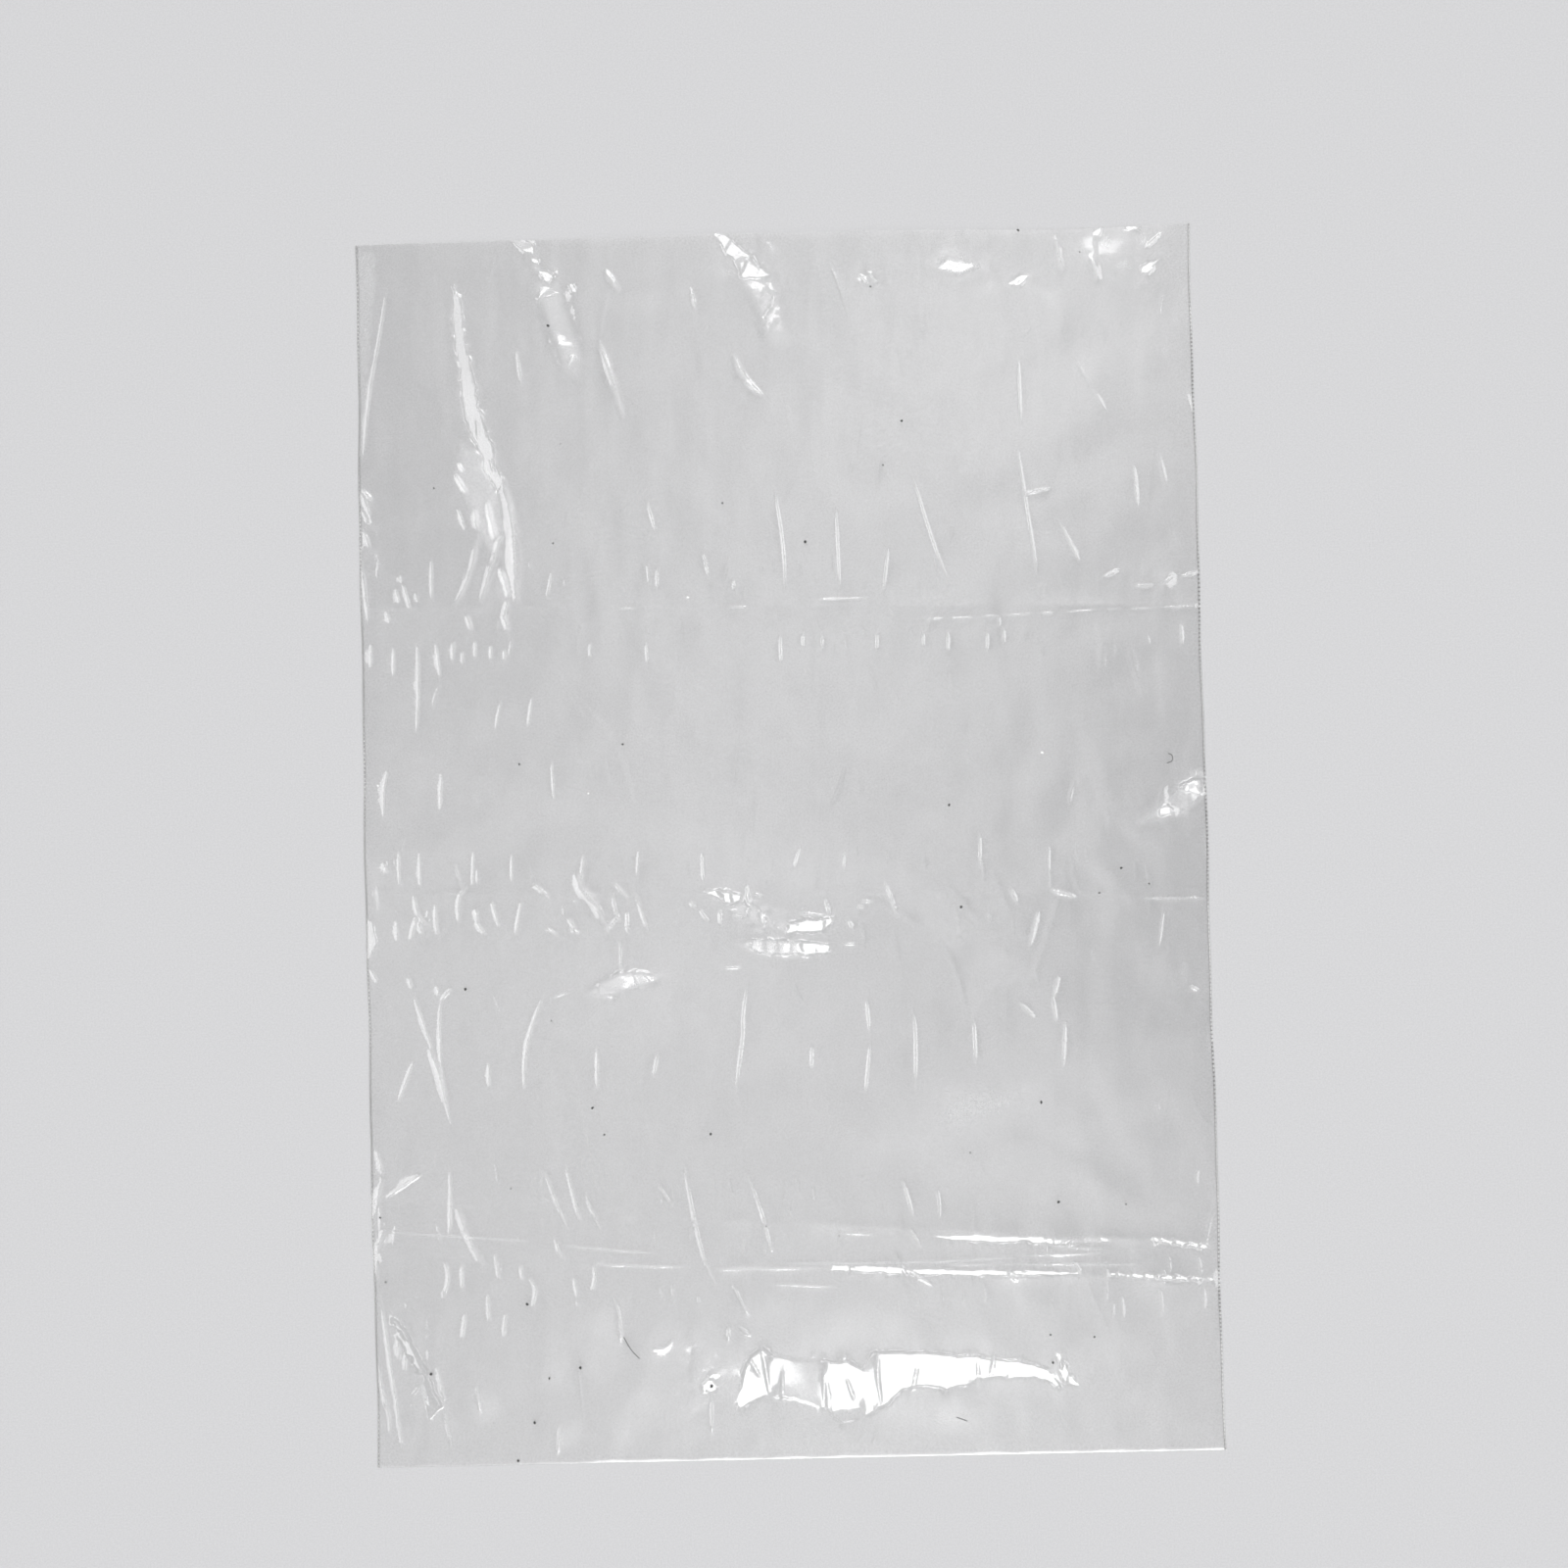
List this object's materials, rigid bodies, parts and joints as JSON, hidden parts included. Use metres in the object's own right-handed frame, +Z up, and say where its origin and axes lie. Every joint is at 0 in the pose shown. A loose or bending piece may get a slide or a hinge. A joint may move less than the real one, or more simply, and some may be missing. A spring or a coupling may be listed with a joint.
{
  "type": "flat film bag",
  "caption": "Flat bag of thin clear film without handles, folded at the bottom, welded along both sides and open at the mouth.",
  "frame": {"origin": "on the ground under the middle of the bag", "axes": "+Y along the bag's length from the bottom fold to the mouth, +X across the bag, +Z up out of the front ply"},
  "size_m": [0.3, 0.437, 0.0091],
  "materials": {
    "clear_film": "clear glossy thin film, lightly crumpled"
  },
  "bodies": {
    "root": {"film_bag": "clear_film"}
  },
  "joints": []
}
